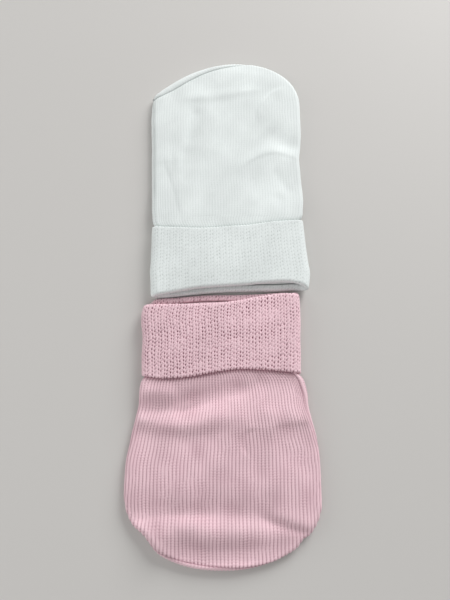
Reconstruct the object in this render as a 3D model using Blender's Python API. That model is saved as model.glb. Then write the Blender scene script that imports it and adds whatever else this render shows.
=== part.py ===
"""A pair of baby mittens in fine rib knit, lying flat end to end with their mouths facing.

Each mitten is a front and a back panel, joined by a seam that runs down both sides and round
the toe. The wrist end of each panel is turned back outside as a deep cuff. Every piece is one
wall of cloth. Sizes are in millimetres, and are turned to metres when a mesh is made.

A place on a mitten is (x, v): x runs across it, and v runs along it from the mouth to the toe.
"""

from collections import namedtuple

import bmesh
import bpy
import numpy as np

METRES = 0.001
MOUTHS_MEET = -4.0         # Y of v = 0 on both mittens

# Cloth and clearances
CLOTH = 1.2                # one wall of rib knit
GAP = 0.3                  # between two pieces, at seams and between layers
LAYER = CLOTH + GAP        # from one layer of cloth to the next

# Raised ribs of the front, and the broader ones of the turned-back cuff
BODY_RIBS = 50
BODY_RIB_HEIGHT = 0.35
CUFF_RIBS = 24
CUFF_RIB_HEIGHT = 0.2
PLAIN_COLUMNS = 18         # steps across a surface that has no ribs

# Rim, where a panel rounds down to the side and toe seam
RIM_RADIUS = 2.6           # across the rim, on a panel's outer surface
RIM_HEIGHT = 1.6           # from the seam to the panel's outer surface
RIM_STEPS = 3
SLANT_LIMIT = 3.5          # most that the rim's rows spread where the toe runs steeply

# Cover of the turned-back cuff over the panels
COVER_SPREAD = 3.8         # past the cuff a panel springs out to the mitten's outline over this way
COVER_END = 36.8           # it starts to sink to the surface here,
OUTLINE_ROW = 41.5         # a row of points just where it has reached the outline
COVER_CLEAR = 58.0         # it lies on the surface from here on
ROLL_RADIUS = CLOTH + GAP / 2    # outer radius of the roll at the mouth
RETURN_LENGTH = 1.5        # straight stretch of cloth inside the mouth, after the roll
ROLL_STEPS = 4
CUFF_ROWS = (0.0, 0.2, 0.55, 1.0)    # shares of the way from the roll to the free edge
EDGE_CLEARANCE = 0.4       # plain stretch of the panel beyond the cuff's free edge
RIB_START = 2.0            # the ribs are full this far beyond the free edge

# Room between the panels
PUFF_REACH = 11.0          # how far in from the seam the front panel has risen
FOLD_REACH = 1.4           # how far in from the seam a fold has its height
FOLD_END = 0.17            # share of its length over which a fold eases out, on either side of its end
ROOM_LOW, ROOM_HIGH = -0.45, 4.2

Width = namedtuple("Width", "along left right")              # outline, at a distance from the mouth
Edge = namedtuple("Edge", "across along")                    # an edge of the cloth across a mitten
Puff = namedtuple("Puff", "along height")                    # rise of the front panel's middle
Toe = namedtuple("Toe", "corner power root")                 # one side of the toe's curve
Notch = namedtuple("Notch", "across depth width")            # a dent in the toe's curve
# A ridge, or a trough below zero, along a bowed line, with a width for each side of it
Fold = namedtuple("Fold", "x0 v0 x1 v1 bow right left height")
Mitten = namedtuple(
    "Mitten",
    "name facing colour widths cover_ends top toe_left toe_right notches front_mouth back_mouth"
    " front_edge back_edge puff folds rows",
)

WHITE = Mitten(
    name="white",
    facing=1,
    colour=(0.80, 0.85, 0.84),
    widths=(
        Width(-4.0, -31.9, 38.0),
        Width(1.2, -32.4, 38.1),
        Width(6.7, -32.7, 38.9),
        Width(10.0, -33.0, 39.2),
        Width(15.0, -32.9, 38.6),
        Width(22.0, -32.8, 37.9),
        Width(30.0, -32.8, 37.3),
        Width(36.0, -32.7, 36.9),
        Width(40.0, -33.1, 37.0),
        Width(44.5, -33.3, 37.4),
        Width(55.0, -33.8, 37.0),
        Width(62.0, -34.1, 36.7),
        Width(67.0, -34.3, 36.4),
        Width(72.0, -34.4, 37.0),
        Width(80.0, -34.8, 37.7),
        Width(90.0, -35.2, 37.7),
        Width(97.5, -34.8, 37.6),
        Width(102.0, -34.0, 37.3),
        Width(104.0, -34.0, 37.3),
        Width(121.0, -34.0, 37.3),
    ),
    cover_ends=(32.0, 35.2),
    top=Edge(7.0, 120.0),
    toe_left=Toe(corner=102.0, power=2.1, root=1.0),
    toe_right=Toe(corner=98.0, power=2.1, root=2.0),
    notches=(),
    front_mouth=(
        Edge(-33.0, -1.2),
        Edge(-30.0, -0.7),
        Edge(-21.0, 0.8),
        Edge(-11.0, 2.5),
        Edge(-1.0, 3.3),
        Edge(9.0, 3.9),
        Edge(19.0, 4.9),
        Edge(30.0, 5.2),
        Edge(35.0, 3.9),
        Edge(38.5, 1.8),
    ),
    back_mouth=(
        Edge(-33.0, -1.1),
        Edge(-24.0, -0.7),
        Edge(-14.0, 0.4),
        Edge(-5.0, 1.3),
        Edge(4.0, 1.8),
        Edge(13.0, 2.0),
        Edge(24.0, 2.1),
        Edge(34.0, 2.5),
        Edge(38.5, 2.2),
    ),
    front_edge=(
        Edge(-32.5, 31.4),
        Edge(-21.0, 30.5),
        Edge(-10.0, 30.0),
        Edge(1.0, 30.7),
        Edge(12.0, 31.5),
        Edge(23.0, 33.2),
        Edge(37.0, 34.7),
    ),
    back_edge=(Edge(-32.5, 31.6), Edge(0.0, 31.8), Edge(37.0, 34.6)),
    puff=(
        Puff(0.0, 0.1),
        Puff(5.0, 0.5),
        Puff(14.0, 1.0),
        Puff(26.0, 1.3),
        Puff(40.0, 1.4),
        Puff(75.0, 2.0),
        Puff(100.0, 1.6),
        Puff(118.0, 0.9),
    ),
    folds=(
        Fold(-24.0, 108.0, 31.0, 106.6, 6.0, 7.0, 5.0, 0.75),  # level band along the toe
        Fold(-19.0, 98.9, 17.0, 103.6, -0.8, 2.3, 6.0, 0.4),   # crest of the step below it
        Fold(-14.0, 99.5, 16.0, 102.5, 0.0, 9.0, 2.4, 0.2),    # long ramp up to it
        Fold(28.2, 104.3, 16.9, 88.0, -2.6, 1.5, 6.0, 0.45),   # ridge round its right end
        Fold(-31.0, 106.0, -31.0, 54.0, 0.0, 6.0, 5.0, 0.85),  # level strip down the left
        Fold(-12.8, 96.0, -18.2, 65.0, 0.0, 3.4, 4.6, -0.75),  # valley beside it
        Fold(-13.4, 92.0, -17.4, 75.0, 0.0, 3.0, 4.0, -0.45),  # its deep part
        Fold(-34.0, 49.5, 8.0, 57.0, 0.0, 9.0, 15.0, 0.9),     # swell across the middle
        Fold(9.0, 62.5, 38.0, 68.2, 3.2, 9.0, 4.0, 0.42),      # crest across the right,
        Fold(9.5, 62.5, 38.0, 65.8, 5.2, 1.5, 4.0, 0.28),      # with a sharp edge
        Fold(22.0, 80.5, 35.0, 71.0, 0.0, 6.5, 5.5, -1.05),    # hollow above the crest
        Fold(-33.0, 65.0, -25.0, 66.0, 0.0, 1.5, 8.0, 0.15),   # end of the level strip
        Fold(-28.8, 65.0, -19.6, 34.0, 0.6, 7.0, 1.6, -0.35),  # crease, lower left
        Fold(-21.6, 68.0, -20.0, 50.0, 0.4, 2.0, 2.6, 0.25),   # and the ridge inside it
        Fold(26.5, 47.0, 26.5, 34.0, 0.0, 3.0, 2.2, -0.3),     # short creases, lower right
        Fold(24.5, 60.0, 31.5, 49.0, 0.0, 2.5, 2.5, -0.2),
    ),
    rows=(46.5, 53.0, 59.5, 66.0, 72.0, 78.0, 85.0, 92.0, 99.0, 106.0),
)

PINK = Mitten(
    name="pink",
    facing=-1,
    colour=(0.77, 0.50, 0.57),
    widths=(
        Width(-4.0, -34.7, 33.6),
        Width(5.0, -35.2, 34.0),
        Width(9.0, -35.9, 34.0),
        Width(13.0, -35.8, 34.0),
        Width(18.0, -35.1, 33.7),
        Width(28.0, -35.1, 33.6),
        Width(34.0, -34.8, 33.5),
        Width(37.5, -34.8, 34.6),
        Width(42.6, -35.4, 36.0),
        Width(49.0, -35.7, 36.5),
        Width(53.0, -36.6, 37.4),
        Width(59.2, -38.1, 38.7),
        Width(65.6, -39.2, 39.8),
        Width(72.0, -40.2, 40.2),
        Width(78.0, -40.3, 40.2),
        Width(113.0, -40.3, 40.2),
    ),
    cover_ends=(35.7, 34.7),
    top=Edge(0.0, 112.0),
    toe_left=Toe(corner=82.0, power=2.3, root=2.0),
    toe_right=Toe(corner=86.0, power=2.0, root=2.0),
    notches=(Notch(-32.0, 2.4, 4.0), Notch(32.4, 1.1, 1.7)),
    front_mouth=(
        Edge(-35.5, 4.9),
        Edge(-29.7, 4.7),
        Edge(-11.0, 4.5),
        Edge(-1.0, 4.0),
        Edge(6.6, 3.0),
        Edge(10.7, 2.2),
        Edge(17.4, 1.0),
        Edge(24.4, -0.1),
        Edge(33.5, -0.4),
    ),
    back_mouth=(
        Edge(-35.5, 4.6),
        Edge(-32.5, 4.0),
        Edge(-30.5, 1.9),
        Edge(-28.0, 1.4),
        Edge(-22.0, 1.0),
        Edge(-9.0, -0.1),
        Edge(9.0, -0.4),
        Edge(14.0, -0.6),
        Edge(19.5, -0.9),
        Edge(25.0, -1.3),
        Edge(33.5, -1.1),
    ),
    front_edge=(
        Edge(-35.0, 35.1),
        Edge(-26.0, 36.4),
        Edge(-20.0, 36.3),
        Edge(-13.0, 35.6),
        Edge(-3.0, 33.8),
        Edge(7.0, 32.6),
        Edge(18.0, 32.8),
        Edge(33.5, 34.0),
    ),
    back_edge=(Edge(-35.0, 35.2), Edge(0.0, 34.4), Edge(33.5, 34.2)),
    puff=(
        Puff(0.0, 0.3),
        Puff(4.0, 0.7),
        Puff(10.0, 1.1),
        Puff(20.0, 1.3),
        Puff(40.0, 1.5),
        Puff(58.0, 1.9),
        Puff(86.0, 1.4),
        Puff(98.0, 1.5),
        Puff(112.0, 1.2),
    ),
    folds=(
        Fold(-41.0, 48.4, -8.0, 47.0, 2.0, 3.8, 2.6, -1.25),    # hollow beside the cuff, on the left
        Fold(-33.0, 42.0, -20.0, 42.0, 0.0, 3.0, 3.0, 0.7),     # rise between it and the cuff
        Fold(-20.0, 47.5, 2.0, 44.6, 0.0, 5.5, 6.0, -2.0),      # dip along the rest of the cuff,
        Fold(1.0, 42.8, 18.0, 38.8, 0.0, 4.4, 4.4, -1.6),       # and on to the right,
        Fold(18.0, 40.5, 42.0, 39.5, 0.0, 5.0, 8.0, -0.9),      # shallower
        Fold(-41.0, 54.3, -4.0, 54.4, 1.6, 2.8, 3.2, 1.0),      # first crest, narrow on the left,
        Fold(-8.0, 54.8, 38.0, 53.2, 0.7, 6.0, 5.0, 1.05),      # and broad on the right
        Fold(14.0, 53.4, 40.0, 52.4, 0.0, 10.0, 10.0, 1.25),
        Fold(-16.0, 55.0, 22.0, 54.0, 0.0, 7.0, 24.0, 1.0),     # long fall of the palm beyond it
        Fold(-41.0, 59.2, 5.0, 58.4, 2.2, 4.4, 8.5, -0.85),     # trough beyond it
        Fold(12.0, 59.0, 39.0, 55.9, 0.0, 1.8, 4.0, -0.4),      # that goes on as a crease
        Fold(11.0, 57.6, 21.0, 57.2, 0.0, 2.2, 8.0, 0.5),       # with a fall at its start
        Fold(13.5, 57.6, 10.0, 67.6, 2.6, 1.6, 1.6, -0.3),      # and a curl
        Fold(-36.0, 88.0, -36.0, 62.0, 0.0, 6.0, 8.0, 0.4),     # left edge of the palm
        Fold(-38.0, 79.0, 38.0, 79.0, 0.0, 10.0, 6.0, 0.5),     # lower swell of the palm
        Fold(-38.0, 94.0, -6.0, 90.6, -1.4, 5.0, 3.0, -1.3),    # trough beyond it,
        Fold(-12.0, 89.6, 6.0, 89.2, 0.0, 4.0, 2.7, -0.4),      # deepest in the middle
        Fold(-8.0, 90.8, 27.0, 92.8, 0.0, 5.0, 5.0, -1.15),
        Fold(21.0, 91.0, 36.0, 96.6, 0.0, 3.6, 2.2, 0.7),       # and a bulge at its right end
        Fold(-40.0, 95.0, -20.0, 111.5, 0.0, 7.0, 5.0, 1.0),    # left corner of the toe
        Fold(-38.0, 99.5, -20.0, 98.0, -0.6, 3.4, 10.0, 0.7),   # last crest,
        Fold(-22.0, 96.0, 17.0, 97.2, -0.6, 4.4, 6.6, 0.95),    # with a long fall beyond it
        Fold(-20.0, 106.6, 26.0, 106.2, 1.2, 6.4, 2.8, -1.65),  # dip before the toe
        Fold(16.0, 92.4, 36.0, 99.4, 0.0, 2.2, 1.8, -0.7),      # crease that runs out at the right
    ),
    rows=(45.5, 51.0, 56.0, 61.5, 68.0, 75.5, 82.0, 88.0, 94.5, 100.5),
)


# Curves read from the tables


def curve(table, column, at):
    """A smooth curve through one column of a table, read at the given places."""
    places = np.array([row[0] for row in table])
    values = np.array([getattr(row, column) for row in table])
    slopes = np.gradient(values, places)
    at = np.clip(at, places[0], places[-1])
    i = np.clip(np.searchsorted(places, at, side="right") - 1, 0, len(places) - 2)
    step = places[i + 1] - places[i]
    t = (at - places[i]) / step
    start = values[i] * (1 + 2 * t) * (1 - t) ** 2 + slopes[i] * step * t * (1 - t) ** 2
    end = values[i + 1] * t**2 * (3 - 2 * t) - slopes[i + 1] * step * t**2 * (1 - t)
    return start + end


def ease(value):
    """0 below 0, 1 above 1, and a smooth step between."""
    value = np.clip(value, 0, 1)
    return value * value * (3 - 2 * value)


def seam_height(v):
    """Height of the side and toe seam above the surface, a layer higher within the cuff."""
    return RIM_HEIGHT + LAYER * (1 - ease((v - COVER_END) / (COVER_CLEAR - COVER_END)))


def sides(mitten, v, depth):
    """Left and right edges, at a depth of cloth in from the mitten's outline."""
    return curve(mitten.widths, "left", v) + depth, curve(mitten.widths, "right", v) - depth


def panel_sides(mitten, v, depth):
    """The panels' edges: a layer inside the mitten's outline within the cuff, and on it beyond."""
    left, right = sides(mitten, v, depth)
    cover = [1 - np.clip((v - end) / COVER_SPREAD, 0, 1) for end in mitten.cover_ends]
    return left + LAYER * cover[0] ** 2, right - LAYER * cover[1] ** 2


def toe_line(mitten, x, depth):
    """Distance along the mitten at which the toe's curve crosses x."""
    top = mitten.top
    left, right = sides(mitten, top.along, depth)
    out_left = np.clip((top.across - x) / (top.across - left), 0, 1)
    out_right = np.clip((x - top.across) / (right - top.across), 0, 1)
    toe_left, toe_right = mitten.toe_left, mitten.toe_right
    rise_left = (1 - out_left**toe_left.power) ** (1 / toe_left.root)
    rise_right = (1 - out_right**toe_right.power) ** (1 / toe_right.root)
    left_line = toe_left.corner + (top.along - depth - toe_left.corner) * rise_left
    right_line = toe_right.corner + (top.along - depth - toe_right.corner) * rise_right
    line = np.where(x < top.across, left_line, right_line)
    for notch in mitten.notches:
        line = line - notch.depth * np.exp(-(((x - notch.across) / notch.width) ** 2))
    return line


def seam_path(mitten, depth):
    """The panels' outline as a line of points: up the left side, round the toe, down the right."""
    turn = np.sin(np.linspace(-np.pi / 2, np.pi / 2, 161))
    left_v = np.linspace(-6, mitten.toe_left.corner, 60)
    right_v = np.linspace(mitten.toe_right.corner, -6, 60)
    left_x = panel_sides(mitten, left_v, depth)[0]
    right_x = panel_sides(mitten, right_v, depth)[1]
    toe_x = left_x[-1] + (right_x[0] - left_x[-1]) * (turn + 1) / 2
    toe_v = toe_line(mitten, toe_x, depth)
    return np.column_stack([np.r_[left_x, toe_x, right_x], np.r_[left_v, toe_v, right_v]])


def seam_distance(mitten, x, v, depth=0.0):
    """Distance in from the panels' outline, 0 outside it."""
    path = seam_path(mitten, depth)
    start, along = path[:-1], np.diff(path, axis=0)
    keep = np.hypot(along[:, 0], along[:, 1]) > 1e-9
    start, along = start[keep], along[keep]
    shape = np.shape(x)
    point = np.column_stack([np.ravel(x), np.ravel(v)])
    away = point[:, None, :] - start
    t = np.clip((away * along).sum(-1) / (along * along).sum(-1), 0, 1)
    distance = np.linalg.norm(away - t[..., None] * along, axis=-1).min(axis=1).reshape(shape)
    left, right = panel_sides(mitten, v, depth)
    return np.where((x < left) | (x > right), 0, distance)


# Heights


def fold_height(fold, x, v):
    """A soft ridge or trough along a bowed line, fading out at both ends."""
    run = np.array([fold.x1 - fold.x0, fold.v1 - fold.v0])
    length = np.hypot(*run)
    run = run / length
    s = ((x - fold.x0) * run[0] + (v - fold.v0) * run[1]) / length
    off = (v - fold.v0) * run[0] - (x - fold.x0) * run[1] - fold.bow * 4 * s * (1 - s)
    ends = ease((s + FOLD_END) / (2 * FOLD_END)) * ease((1 + FOLD_END - s) / (2 * FOLD_END))
    width = np.where(off < 0, fold.right, fold.left)
    return fold.height * np.exp(-((off / width) ** 2)) * ends


def rise(mitten, x, v):
    """How far the front panel and its cuff stand up from where they would lie flat."""
    inside = seam_distance(mitten, x, v)
    puff = curve(mitten.puff, "height", v) * (1 - np.exp(-((inside / PUFF_REACH) ** 2)))
    folds = sum(fold_height(fold, x, v) for fold in mitten.folds)
    folds = folds * (1 - np.exp(-((inside / FOLD_REACH) ** 2)))
    return np.clip(puff + folds, ROOM_LOW, ROOM_HIGH)


def rim(distance, depth):
    """Height over the seam of a surface this deep in the cloth, at a distance in from its edge."""
    radius, height = RIM_RADIUS - depth, RIM_HEIGHT - depth
    inward = 1 - np.clip(distance / radius, 0, 1)
    return GAP / 2 + (height - GAP / 2) * np.sqrt(1 - inward**2)


# Grids of points


def columns(ribs, steps):
    """Where columns of points stand, as shares of the left edge, right edge and rim radius, and
    which of them are the crests of ribs."""
    angles = np.linspace(0, np.pi / 2, RIM_STEPS + 1)[:-1]
    rim_share = 1 - np.cos(angles)
    middle = np.linspace(0, 1, steps + 1)
    of_left = np.r_[np.ones(RIM_STEPS), 1 - middle, np.zeros(RIM_STEPS)]
    of_radius = np.r_[rim_share, 1 - 2 * middle, -rim_share[::-1]]
    crest = np.r_[np.zeros(RIM_STEPS), np.arange(steps + 1) % 2 * ribs, np.zeros(RIM_STEPS)]
    return of_left, 1 - of_left, of_radius, crest


def cuff_ends(mitten, front, across):
    """Distances along the mitten of the cuff's roll and of its free edge, for each column."""
    mouth = mitten.front_mouth if front else mitten.back_mouth
    edge = mitten.front_edge if front else mitten.back_edge
    roll = curve(mouth, "along", across(0.0)) + ROLL_RADIUS
    return roll, curve(edge, "along", across(COVER_END))


def panel_grid(mitten, front, depth, ribbed):
    """Points of one surface of a panel: rows from the mouth to the toe, columns from left to right.
    The surface lies this deep in the cloth, 0 outside and CLOTH inside."""
    steps = 2 * BODY_RIBS if ribbed else PLAIN_COLUMNS
    of_left, of_right, of_radius, crest = columns(ribbed, steps)
    radius = RIM_RADIUS - depth

    def across(v):
        left, right = panel_sides(mitten, v, depth)
        return of_left * left + of_right * right + of_radius * radius

    roll, free = cuff_ends(mitten, front, across)

    toe_x = across(mitten.top.along)
    end = toe_line(mitten, toe_x, depth)
    slant = np.gradient(end, toe_x)
    spread = np.minimum(np.hypot(1, slant), SLANT_LIMIT)
    rows = [roll + RETURN_LENGTH + GAP]
    rows += [roll + (free - roll) * share for share in CUFF_ROWS[1:-1]]
    rows += [free + EDGE_CLEARANCE, free + RIB_START, np.full_like(free, OUTLINE_ROW)]
    last = end - radius * spread
    shortfall = mitten.top.along - radius - depth - last
    first_row, last_row = OUTLINE_ROW, mitten.top.along - radius
    for row in mitten.rows if ribbed else mitten.rows[::2]:
        share = (row - first_row) / (last_row - first_row)
        rows.append(row - shortfall * share**2)
    for angle in np.linspace(np.pi / 2, 0, RIM_STEPS + 1):
        rows.append(end - radius * (1 - np.cos(angle)) * spread)
    v = np.array(rows)
    x = np.array([across(row) for row in v])
    distance = seam_distance(mitten, x, v, depth)
    distance[:, [0, -1]] = 0
    distance[-1] = 0
    over_seam = rim(distance, depth)
    ribs = np.zeros_like(v)
    ribs[len(CUFF_ROWS):-RIM_STEPS] = crest * BODY_RIB_HEIGHT
    if front:
        # A deep fold near the seam leaves half the gap over it.
        z = seam_height(v) + np.maximum(over_seam + rise(mitten, x, v), GAP / 2) + ribs
    else:
        z = seam_height(v) - over_seam
    return np.stack([x, v, z], axis=-1)


def cuff_grid(mitten, front):
    """Points of a cuff: columns across the mitten, rows round the cloth's J-shaped section, from
    the free edge to the roll at the mouth, back along its short inner stretch, and out again."""
    steps = 2 * CUFF_RIBS if front else PLAIN_COLUMNS
    of_left, of_right, of_radius, crest = columns(front, steps)
    # The section: share of the way to the free edge, distance past the roll's centre, depth.
    section = [(share, 0.0, 0.0) for share in CUFF_ROWS[::-1]]
    for angle in np.linspace(0, np.pi, ROLL_STEPS + 1)[1:]:
        section.append((0.0, -ROLL_RADIUS * np.sin(angle), ROLL_RADIUS * (1 - np.cos(angle))))
    section.append((0.0, RETURN_LENGTH, 2 * ROLL_RADIUS))
    section.append((0.0, RETURN_LENGTH, LAYER))
    section.append((0.0, 0.0, LAYER))
    section.append((0.0, -GAP / 2, ROLL_RADIUS))
    section.extend((share, 0.0, CLOTH) for share in CUFF_ROWS)

    rings = []
    for share, past, depth in section:
        radius = RIM_RADIUS + LAYER - depth

        def across(v):
            left, right = sides(mitten, v, depth)
            return of_left * left + of_right * right + of_radius * radius

        roll, free = cuff_ends(mitten, front, across)
        v = roll + (free - roll) * share + past
        x = across(v)
        left, right = sides(mitten, v, depth)
        over_seam = rim(np.minimum(x - left, right - x), depth - LAYER)
        if front:
            outside = depth == 0
            z = seam_height(v) + over_seam + rise(mitten, x, v) + crest * CUFF_RIB_HEIGHT * outside
        else:
            z = seam_height(v) - over_seam
        rings.append(np.stack([x, v, z], axis=-1))
    return np.stack(rings)


# Meshes


def grid_faces(rows, count, start):
    """Four-sided faces over a grid of points."""
    r, c = np.meshgrid(np.arange(rows - 1), np.arange(count - 1), indexing="ij")
    corner = start + r * count + c
    return np.stack([corner, corner + 1, corner + count + 1, corner + count], -1).reshape(-1, 4).tolist()


def rim_loop(grid, start):
    """Point numbers round a grid's edge, and how far round each is: 0 to 4, a side for each whole number."""
    rows, count = grid.shape[:2]
    number = start + np.arange(rows * count).reshape(rows, count)
    sides_round = (
        (number[0], grid[0]),
        (number[:, -1], grid[:, -1]),
        (number[-1, ::-1], grid[-1, ::-1]),
        (number[::-1, 0], grid[::-1, 0]),
    )
    numbers, places = [], []
    for side, (names, points) in enumerate(sides_round):
        run = np.r_[0, np.cumsum(np.linalg.norm(np.diff(points[:, :2], axis=0), axis=1))]
        numbers.extend(names[:-1])
        places.extend(side + run[:-1] / run[-1])
    return numbers, places


def strip_faces(outer, inner):
    """Triangles that close the strip between two rims whose points are spaced differently."""
    (outer, outer_at), (inner, inner_at) = outer, inner
    outer, outer_at = outer + outer[:1], outer_at + [4.0]
    inner, inner_at = inner + inner[:1], inner_at + [4.0]
    faces, i, j = [], 0, 0
    while i < len(outer) - 1 or j < len(inner) - 1:
        step_outer = j == len(inner) - 1 or (
            i < len(outer) - 1 and outer_at[i + 1] <= inner_at[j + 1]
        )
        if step_outer:
            faces.append([outer[i], outer[i + 1], inner[j]])
            i += 1
        else:
            faces.append([outer[i], inner[j + 1], inner[j]])
            j += 1
    return faces


def panel_mesh(mitten, front):
    """A panel's two surfaces, closed round their rims."""
    outer = panel_grid(mitten, front, 0.0, ribbed=front)
    inner = panel_grid(mitten, front, CLOTH, ribbed=False)
    count = outer.shape[0] * outer.shape[1]
    points = np.concatenate([outer.reshape(-1, 3), inner.reshape(-1, 3)])
    faces = grid_faces(*outer.shape[:2], 0) + grid_faces(*inner.shape[:2], count)
    faces += strip_faces(rim_loop(outer, 0), rim_loop(inner, count))
    return points, faces


def cuff_mesh(mitten, front):
    """A cuff's section carried across the mitten, with its two ends closed."""
    rings = cuff_grid(mitten, front)
    section, count = rings.shape[:2]
    closed = np.concatenate([rings, rings[:1]])
    faces = [[n % (section * count) for n in face] for face in grid_faces(*closed.shape[:2], 0)]
    first = np.arange(section) * count
    faces.append(first.tolist())
    faces.append((first + count - 1).tolist())
    return rings.reshape(-1, 3), faces


def knit_material(name, colour):
    """Matt cotton knit."""
    material = bpy.data.materials.new(name)
    material.use_nodes = True
    shader = material.node_tree.nodes["Principled BSDF"]
    shader.inputs["Base Color"].default_value = (*colour, 1)
    shader.inputs["Roughness"].default_value = 0.9
    shader.inputs["Metallic"].default_value = 0.0
    return material


def add_piece(mitten, piece, points, faces, material):
    """One piece of cloth as an object, laid in its place on the surface."""
    x, v, z = points.T
    placed = np.column_stack([x, MOUTHS_MEET + mitten.facing * v, z]) * METRES
    mesh = bpy.data.meshes.new(f"{mitten.name}_{piece}")
    mesh.from_pydata(placed.tolist(), [], faces)
    cloth = bmesh.new()
    cloth.from_mesh(mesh)
    bmesh.ops.triangulate(cloth, faces=cloth.faces, quad_method="BEAUTY", ngon_method="EAR_CLIP")
    bmesh.ops.recalc_face_normals(cloth, faces=cloth.faces)
    cloth.to_mesh(mesh)
    cloth.free()
    mesh.materials.append(material)
    mesh.shade_smooth()
    mesh.set_sharp_from_angle(angle=np.radians(40))
    piece_object = bpy.data.objects.new(mesh.name, mesh)
    bpy.context.scene.collection.objects.link(piece_object)
    return piece_object


def add_mitten(mitten):
    """The four pieces of one mitten."""
    material = knit_material(f"{mitten.name}_knit", mitten.colour)
    add_piece(mitten, "back_panel", *panel_mesh(mitten, False), material)
    add_piece(mitten, "front_panel", *panel_mesh(mitten, True), material)
    add_piece(mitten, "cuff_back", *cuff_mesh(mitten, False), material)
    add_piece(mitten, "cuff_front", *cuff_mesh(mitten, True), material)


for old in list(bpy.data.objects):
    bpy.data.objects.remove(old)
for each in (WHITE, PINK):
    add_mitten(each)
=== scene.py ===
import bpy
import numpy as np
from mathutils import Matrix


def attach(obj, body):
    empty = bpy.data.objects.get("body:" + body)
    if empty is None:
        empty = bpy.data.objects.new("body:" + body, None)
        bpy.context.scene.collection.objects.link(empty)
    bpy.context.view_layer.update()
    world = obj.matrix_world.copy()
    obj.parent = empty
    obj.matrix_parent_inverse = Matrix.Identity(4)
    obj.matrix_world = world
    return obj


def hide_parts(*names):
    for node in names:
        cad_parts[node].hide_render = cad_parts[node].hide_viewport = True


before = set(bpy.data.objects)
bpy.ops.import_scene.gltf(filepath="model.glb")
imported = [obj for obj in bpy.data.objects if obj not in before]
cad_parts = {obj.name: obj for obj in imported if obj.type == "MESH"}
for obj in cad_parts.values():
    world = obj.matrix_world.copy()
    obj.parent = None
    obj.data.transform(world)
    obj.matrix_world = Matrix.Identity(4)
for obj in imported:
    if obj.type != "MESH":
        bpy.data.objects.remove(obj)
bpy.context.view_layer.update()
print("frame loaded:", len(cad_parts), "solids")

millimetre = 0.001
uvScale = 0.01         # UV units to a millimetre of flat cloth
mouthsMeet = -4.0      # Y of v = 0 on both mittens
tiny = 1e-6            # keeps powers and slopes away from zero
onOutline = 1e-5       # nearer to the outline than this counts as on it


# What both mittens share

cloth = {
    "wall": 1.2,             # one wall of rib knit
    "layer": 1.5,            # from one wall to the next one on it
    "halfGap": 0.1,          # half the space between the two walls at the seam
    "thinning": 0.7,         # the wall is this much thinner at the seam, over this width
    "thinWidth": 1.6,
    "rimRadius": 2.0,        # a panel rounds down to its seam over this width
    "rimHeight": 1.6,        # and this height
    "rimDepth": 5.5,         # strip along the seam with its own closer rows of points
    "cornerPower": 5,        # how sharply the side's rim turns into the toe's
    "coverSpread": 3.8,      # past the cuff a panel springs out to the outline over this way
    "coverEnd": 36.8,        # it starts to sink to the surface here,
    "coverClear": 58.0,      # and lies on it from here on
    "slantLimit": 4.0,       # most that rows spread where the toe's edge runs steeply
    "puffReach": 11.0,       # distance in from the seam over which the front rises
    "foldReach": 1.4,        # the same for its folds
    "foldEnd": 0.17,         # share of its length over which a fold eases out, to either side of its end
    "foldStray": (0.7, 24),  # how far a fold's line wavers, and over what length
    "uneven": (0.06, 17),    # how far the whole front wavers up and down, and over what length
    "roomLow": -0.9,         # the front never sinks or rises past these
    "roomHigh": 4.5,
    "limitPower": 6,         # how sharply it bends over there
    "ribWidth": 1.35,        # one rib of the flat cloth
    "reliefRoom": 0.3,       # the knit's relief stands this far past a wrapped edge
}

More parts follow.
